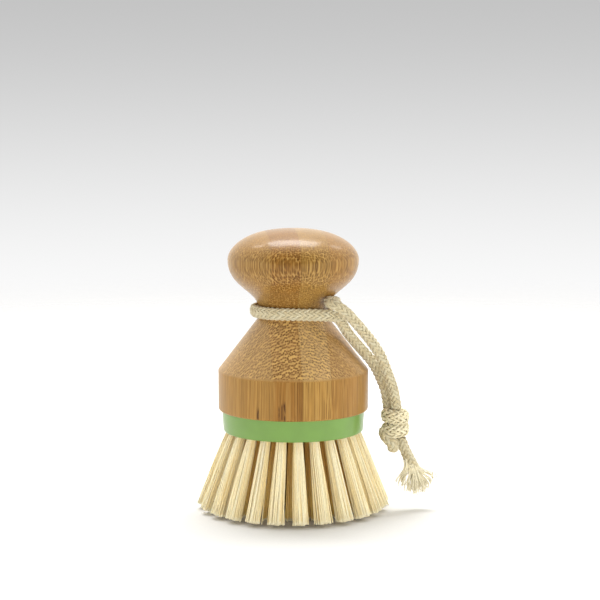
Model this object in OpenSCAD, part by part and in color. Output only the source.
// Bamboo dish brush: a turned handle, a drilled bristle block, tufts of bristle and a cord loop.
// The brush stands on its bristle tips. Its axis is Z, and Z is zero at the tips.

/* [Handle] */
// Diameter of the skirt at its shoulder
skirt_d = 55.7; // [52:0.1:60]
// How much narrower the skirt is at its foot, on the diameter
skirt_taper = 0.1; // [0:0.1:1]
// Height of the straight skirt
skirt_h = 14.9; // [12:0.1:18]
// Height of the cone from the shoulder to the waist
cone_h = 18.9; // [16:0.1:24]
// Diameter of the waist that the cord lies round
waist_d = 25.6; // [23:0.1:28]
// Height of the hollow of the waist, from the cone to its narrowest place
waist_h = 3.2; // [2.5:0.1:5]
// Diameter of the knob at its widest
knob_d = 48.5; // [44:0.1:54]
// Height of the knob below its widest place
knob_lower_h = 18.9; // [15:0.1:22]
// Height of the knob above its widest place
knob_upper_h = 11.3; // [9:0.1:15]
// Rounding of the shoulder and of the foot of the skirt
edge_r = 0.8; // [0.3:0.1:1.2]

/* [Bristle block] */
// Height of the plastic rim that shows under the handle
rim_h = 7.8; // [6.5:0.1:10]
// How far the rim stands back from the foot of the skirt
rim_step = 1.3; // [0.8:0.1:2]
// How much narrower the rim is at its underside, on the radius
rim_taper = 0.5; // [0:0.1:0.8]
// Height of the spigot in the handle's socket
spigot_h = 3; // [2.5:0.1:4]
// Wall of bamboo round the socket, on the radius
socket_wall = 4.4; // [4:0.1:5]
// Clearance between the spigot and its socket, filled with glue
spigot_fit = 0.1; // [0.05:0.05:0.2]
// Rounding of the rim's lower edge
rim_edge_r = 0.5; // [0.2:0.1:0.8]

/* [Bristles] */
// Height of the bristles that shows under the block
bristle_h = 29.5; // [25:0.5:35]
// Diameter of the drilled holes
hole_d = 4.2; // [4:0.05:4.3]
// Wall of plastic between the outer holes and the edge of the underside
hole_wall = 0.9; // [0.7:0.1:1.2]
// Plastic left above each hole
hole_roof = 2; // [1.5:0.1:2.5]
// Least wall of plastic between two holes of one ring
hole_gap = 1; // [0.8:0.05:1.3]
// Clearance between a tuft and its hole
tuft_fit = 0.05; // [0.02:0.01:0.1]
// Diameter of a tuft at its tip
tip_d = 5.6; // [5:0.1:5.8]
// Lean of the outer tufts
outer_lean = 20; // [15:0.5:20]
// Lean of the middle tufts
middle_lean = 13; // [11:0.5:14]
// Lean of the inner tufts
inner_lean = 6.5; // [5:0.5:8]
// Turn of the outer ring about the axis
outer_turn = 4.2; // [0:0.1:15]
// Turn of the inner ring about the axis
inner_turn = 11.25; // [0:0.25:22.5]

/* [Anchors] */
// Width of the flat wire that holds each tuft
anchor_w = 1.6; // [1.2:0.1:2]
// Thickness of that wire
anchor_t = 0.4; // [0.3:0.05:0.5]
// Clearance round the wire in the fold of the tuft
anchor_fit = 0.05; // [0.02:0.01:0.1]

/* [Cord] */
// Diameter of the cord
cord_d = 4.2; // [3.6:0.1:4.2]
// How much thinner the cord is where it is pulled round the waist
cord_press = 0.28; // [0.2:0.01:0.35]
// Diameter of the knot
knot_d = 10.8; // [10:0.1:11.5]

/* [Hidden] */
$fn = 96;
skirt_r = skirt_d / 2;
foot_r = skirt_r - skirt_taper / 2;
waist_r = waist_d / 2;
knob_r = knob_d / 2;
hole_r = hole_d / 2;
root_r = hole_r - tuft_fit;
tip_r = tip_d / 2;

// Heights of the main places, from the bristle tips up
block_z = bristle_h;
seat_z = block_z + rim_h;
shoulder_z = seat_z + skirt_h;
cone_top_z = shoulder_z + cone_h;
waist_z = cone_top_z + waist_h;
belly_z = waist_z + knob_lower_h;
top_z = belly_z + knob_upper_h;

// The slope of the cone meets the hollow of the waist one waist lip outside the narrowest place
waist_lip = 0.5;
cone_top_r = waist_r + waist_lip;
cone_slope = (skirt_r - cone_top_r) / cone_h;
cone_turn = 0.8;
waist_turn = 1.4;

// How far up its height the knob's underside runs straight before it swells, and how far down
// from its widest place it runs straight again
swell_low = 0.41;
swell_high = 0.57;

// The dome is a little squarer than an ellipse
dome_width = 0.84;
dome_height = 1.12;

// The rim, the spigot and the rings of holes follow the foot of the skirt
rim_top_r = foot_r - rim_step;
rim_low_r = rim_top_r - rim_taper;
socket_r = foot_r - socket_wall;
spigot_r = socket_r - spigot_fit;
socket_h = spigot_h + spigot_fit;
outer_ring_r = rim_low_r - hole_wall - hole_r / cos(outer_lean);

// The holes run this far out below the underside before they are cut
hole_run_out = 2;

// Depth of a hole along its own axis, so that the plastic above it stays whole
function depth_at(lean) = (rim_h + spigot_h - hole_roof - hole_r * sin(lean)) / cos(lean);

// As many tufts as stand round a ring, a hole gap apart at the inner ends of their holes
function ring_of(r, lean, turn, flat) =
    [floor(2 * PI * (r - depth_at(lean) * sin(lean)) / (hole_d + hole_gap)), r, lean, turn, flat];

// Each ring is [number of tufts, radius on the underside, lean, turn about the axis, cut flat].
// The rings divide the radius of the outer one in three.
OUTER = ring_of(outer_ring_r, outer_lean, outer_turn, false);
MIDDLE = ring_of(outer_ring_r * 2 / 3, middle_lean, 0, true);
INNER = ring_of(outer_ring_r / 3, inner_lean, inner_turn, true);
CENTRE = [1, 0, 0, 0, true];

// A tuft's outline has a ridge and a groove for each bundle of bristles that shows
ridges = 16;
groove = 0.12;
anchor_gap = 1;

// The knot lies beside the rim, and the two strands of the loop meet its top face
knot_at = [37.9, -1.6];
knot_top_z = 37.4;
knot_low_z = 26.5;
knot_bulge = 0.9;
stub_at = [36.6, -3.2];
stub_d = 4.6;

// Route of the cord from the knot, up the inner strand, round the waist and down the outer strand.
// The last number is how far the cord is pressed flat there, from 0 to 1.
loop_route = [
    [35.3, 0.6, knot_top_z, 0], [35.3, 0.6, 38.8, 0], [34.3, 0.2, 44.2, 0], [32.2, -0.9, 49.6, 0],
    [29.6, -2.3, 54.6, 0], [25.9, -3.9, 59.3, 0], [22, -5.8, 63.9, 0], [19.4, -7.6, 67.5, 0],
    [17.7, -9.6, 70.7, 0.2], [15.7, -11.9, 73, 0.5], [12.6, -13.7, 73.8, 0.8], [9, -14.6, 74.1, 1],
    [4.9, -14.9, 74.2, 1], [0, -14.6, 74.3, 1], [-6.6, -13, 74.3, 1], [-11.8, -8.6, 74.3, 1],
    [-14.4, -2.3, 74.3, 1], [-13.9, 4.5, 74.3, 1], [-10.3, 10.3, 74.3, 1], [-4.5, 13.9, 74.3, 1],
    [2.3, 14.4, 74.3, 1], [8.6, 11.8, 74.6, 1], [13.1, 7, 75.4, 1], [15.4, 2.6, 76.3, 1],
    [16.1, -2, 77.1, 1], [15.5, -6.3, 77.8, 1], [13.7, -9.9, 78.3, 0.8], [12.7, -12.6, 78.5, 0.5],
    [14, -15, 78.3, 0.2], [16.7, -15.7, 77, 0], [19.6, -15.2, 74.7, 0], [22.1, -14.4, 71.9, 0],
    [24.8, -13.2, 68.7, 0], [27.5, -12, 65.3, 0], [30.2, -10.5, 61.5, 0], [32.4, -9, 57.4, 0],
    [35.3, -6.4, 50, 0], [37, -4.6, 44.8, 0], [38.1, -2.7, 38.8, 0], [38.1, -2.7, knot_top_z, 0]
];
tail_route = [
    [40.4, -0.9, knot_low_z, 0], [40.4, -0.9, 25.6, 0], [41.7, -1.6, 21.8, 0],
    [43.8, -2.6, 17.4, 0], [44.4, -2.8, 16.3, 0], [44.4, -2.8, 15.6, 0]
];

// The yarns of the cord's end spread to this low edge and to this place at the side
fringe_low = [45.6, -2.8, 5.6];
fringe_w = 12;
fringe_t = 6;
fringe_side = [51.4, -2.8, 10.5];
fringe_side_d = 3;
cord_sides = 10;

function tuft_names(name, n) = [for (i = [1:n]) str(name, "_", i)];

// Points of an arc about a centre, from one angle to another
function arc(at, r, a0, a1, n) =
    [for (i = [0:n]) at + r * [cos(a0 + (a1 - a0) * i / n), sin(a0 + (a1 - a0) * i / n)]];

// Points of a smooth curve between two places, pulled by two handles, without its ends
function curve(a, b, c, d, n) = [for (i = [1:n - 1]) let (t = i / n, u = 1 - t)
    u * u * u * a + 3 * u * u * t * b + 3 * u * t * t * c + t * t * t * d];

// The knob's dome, from its widest place up to the axis
function dome(n) = [for (i = [0:n]) let (a = 90 * i / n)
    [knob_r * pow(cos(a), dome_width), belly_z + knob_upper_h * pow(sin(a), dome_height)]];

// Half section of the handle's outside, from the foot of the skirt up to the top
function handle_side() = let (cone_a = atan(cone_slope)) concat(
    arc([foot_r - edge_r, seat_z + edge_r], edge_r, -90, 0, 4),
    arc([skirt_r - edge_r, shoulder_z - edge_r * tan(cone_a / 2)], edge_r, 0, cone_a, 4),
    [[cone_top_r, cone_top_z]],
    curve([cone_top_r, cone_top_z], [cone_top_r - cone_turn * cone_slope, cone_top_z + cone_turn],
          [waist_r, waist_z - waist_turn], [waist_r, waist_z], 5),
    [[waist_r, waist_z]],
    curve([waist_r, waist_z], [waist_r, waist_z + swell_low * knob_lower_h],
          [knob_r, belly_z - swell_high * knob_lower_h], [knob_r, belly_z], 14),
    dome(14)
);

module handle() {
    color("#b98747")
    difference() {
        rotate_extrude() polygon(concat(handle_side(), [[0, seat_z]]));
        translate([0, 0, seat_z - socket_h]) cylinder(r = socket_r, h = 2 * socket_h);
    }
}

// Places a tuft or its hole: its axis leans out from the underside of the block
module lean_out(ring, i) {
    rotate([0, 0, ring[3] - 90 + 360 * i / ring[0]])
    translate([ring[1], 0, block_z])
    rotate([0, -ring[2], 0])
    children();
}

function hole_depth(ring) = depth_at(ring[2]);

module holes(ring) {
    for (i = [0:ring[0] - 1])
        lean_out(ring, i) translate([0, 0, -hole_run_out])
            cylinder(r = hole_r, h = hole_depth(ring) + hole_run_out, $fn = 48);
}

module bristle_block() {
    color("#87bb67")
    difference() {
        rotate_extrude() polygon(concat(
            [[0, block_z]],
            arc([rim_low_r - rim_edge_r, block_z + rim_edge_r], rim_edge_r, -90, 0, 4),
            [[rim_top_r, seat_z], [spigot_r, seat_z], [spigot_r, seat_z + spigot_h], [0, seat_z + spigot_h]]
        ));
        holes(OUTER);
        holes(MIDDLE);
        holes(INNER);
        holes(CENTRE);
    }
}

// How far a bristle reaches below the block along the lean, at a distance x out from the tuft's axis.
// The outer tufts are cut square to their own axis, and the others are cut level with the ground.
function reach(ring, x) = ring[4]
    ? (block_z + x * sin(ring[2])) / cos(ring[2])
    : (block_z - tip_r * sin(ring[2])) / cos(ring[2]);

// One level of a tuft: ridges and grooves round its axis
function tuft_level(r, ring, z, cut) = [for (k = [0:2 * ridges - 1])
    let (a = 180 * k / ridges, d = r * (k % 2 == 0 ? 1 : 1 - groove), x = d * cos(a))
    [x, d * sin(a), cut ? -reach(ring, x) : z]];

module tuft(ring, i) {
    n = 2 * ridges;
    root_z = hole_depth(ring) - tuft_fit;
    points = concat(tuft_level(root_r, ring, root_z, false), tuft_level(root_r, ring, 0, false),
                    tuft_level(tip_r, ring, 0, true));
    sides = [for (l = [0:1], k = [0:n - 1]) each [
        [l * n + k, l * n + (k + 1) % n, l * n + n + k],
        [l * n + (k + 1) % n, l * n + n + (k + 1) % n, l * n + n + k]]];
    caps = [[for (k = [n - 1:-1:0]) k], [for (k = [0:n - 1]) 2 * n + k]];
    color("#e6d2a0")
    lean_out(ring, i)
    difference() {
        polyhedron(points = points, faces = concat(sides, caps), convexity = 4);
        anchor_place(ring) cube([anchor_t + 2 * anchor_fit, hole_d, anchor_w + 2 * anchor_fit], center = true);
    }
}

// The wire lies across the hole, one anchor gap below the hole's end
module anchor_place(ring) {
    translate([0, 0, hole_depth(ring) - anchor_gap - anchor_w / 2]) children();
}

module anchors(ring) {
    length = 2 * root_r - anchor_fit;
    for (i = [0:ring[0] - 1])
        lean_out(ring, i) anchor_place(ring) cube([anchor_t, length, anchor_w], center = true);
}

module tuft_anchors() {
    color("#b9bcc0") {
        anchors(OUTER);
        anchors(MIDDLE);
        anchors(INNER);
        anchors(CENTRE);
    }
}

// A place between two points of a route, at t from 0 to 1
function between(route, i, t) = let (
    last = len(route) - 1, a = route[max(i - 1, 0)], b = route[i],
    c = route[min(i + 1, last)], d = route[min(i + 2, last)])
    0.5 * (2 * b + (c - a) * t + (2 * a - 5 * b + 4 * c - d) * t * t + (3 * b - a - 3 * c + d) * t * t * t);

// The route with a place halfway between each two of its points
function smooth(route) = concat(
    [for (i = [0:len(route) - 2], t = [0, 0.5]) between(route, i, t)], [route[len(route) - 1]]);
function xyz(p) = [p[0], p[1], p[2]];

// The direction of a line at one of its places; both ends keep that of the route's end points
function heading(line, i) = let (
    last = len(line) - 1,
    a = i == last ? last - 2 : max(i - 1, 0),
    b = i == 0 ? 2 : min(i + 1, last),
    v = xyz(line[b]) - xyz(line[a])) v / norm(v);

// One ring of a cord: thinner towards the brush's axis and wider across it where it is pressed
function cord_ring(line, i, r) = let (
    p = xyz(line[i]), t = heading(line, i), out = [p[0], p[1], 0],
    flat = out - (out * t) * t, u = flat / norm(flat), v = cross(t, u), press = line[i][3] * cord_press)
    [for (k = [0:cord_sides - 1]) let (a = 360 * k / cord_sides)
        p + r * (1 - press) * cos(a) * u + r * (1 + press / 2) * sin(a) * v];

module cord_tube(line) {
    n = cord_sides;
    last = len(line) - 1;
    points = [for (i = [0:last]) each cord_ring(line, i, cord_d / 2)];
    sides = [for (i = [0:last - 1], k = [0:n - 1]) each [
        [i * n + k, i * n + n + k, i * n + (k + 1) % n],
        [i * n + (k + 1) % n, i * n + n + k, i * n + n + (k + 1) % n]]];
    caps = [[for (k = [0:n - 1]) k], [for (k = [n - 1:-1:0]) last * n + k]];
    color("#e4dab9") polyhedron(points = points, faces = concat(sides, caps), convexity = 8);
}

module cord_loop() {
    cord_tube(smooth(loop_route));
}

// One turn of the knot, from its lower edge to its upper edge
function knot_turn(z0, z1, r) = curve([r, z0], [r + 1.35 * knot_bulge, z0 + 0.2],
    [r + 1.35 * knot_bulge, z1 - 0.2], [r, z1], 6);

// The knot: two turns one above the other, and the short end of the cord under them
module cord_knot() {
    mid_z = (knot_top_z + knot_low_z) / 2;
    core_r = knot_d / 2 - knot_bulge;
    color("#e4dab9") {
        translate([knot_at[0], knot_at[1], 0])
        rotate_extrude($fn = 48) polygon(concat(
            [[0, knot_low_z], [core_r, knot_low_z]],
            knot_turn(knot_low_z, mid_z, core_r),
            [[core_r, mid_z]],
            knot_turn(mid_z, knot_top_z, core_r),
            [[core_r, knot_top_z], [0, knot_top_z]]
        ));
        translate([stub_at[0], stub_at[1], knot_low_z - 0.3 * stub_d]) sphere(d = stub_d, $fn = 32);
    }
}

module cord_tail() {
    cord_tube(smooth(tail_route));
}

// The end of the cord, where its yarns have come apart and spread
module cord_fringe() {
    end = tail_route[len(tail_route) - 1];
    color("#e4dab9")
    hull() {
        translate([end[0], end[1], end[2] - 0.2]) cylinder(d = 0.8 * cord_d, h = 0.2, $fn = 16);
        translate(fringe_low) scale([fringe_w / fringe_t, 1, 1]) cylinder(d = fringe_t, h = 1, $fn = 24);
        translate(fringe_side) cylinder(d = fringe_side_d, h = 1.5, $fn = 16);
    }
}

handle();
bristle_block();
tuft_anchors();
for (i = [0:OUTER[0] - 1]) tuft(OUTER, i);
for (i = [0:MIDDLE[0] - 1]) tuft(MIDDLE, i);
for (i = [0:INNER[0] - 1]) tuft(INNER, i);
tuft(CENTRE, 0);  // centre_tuft
cord_loop();
cord_knot();
cord_tail();
cord_fringe();
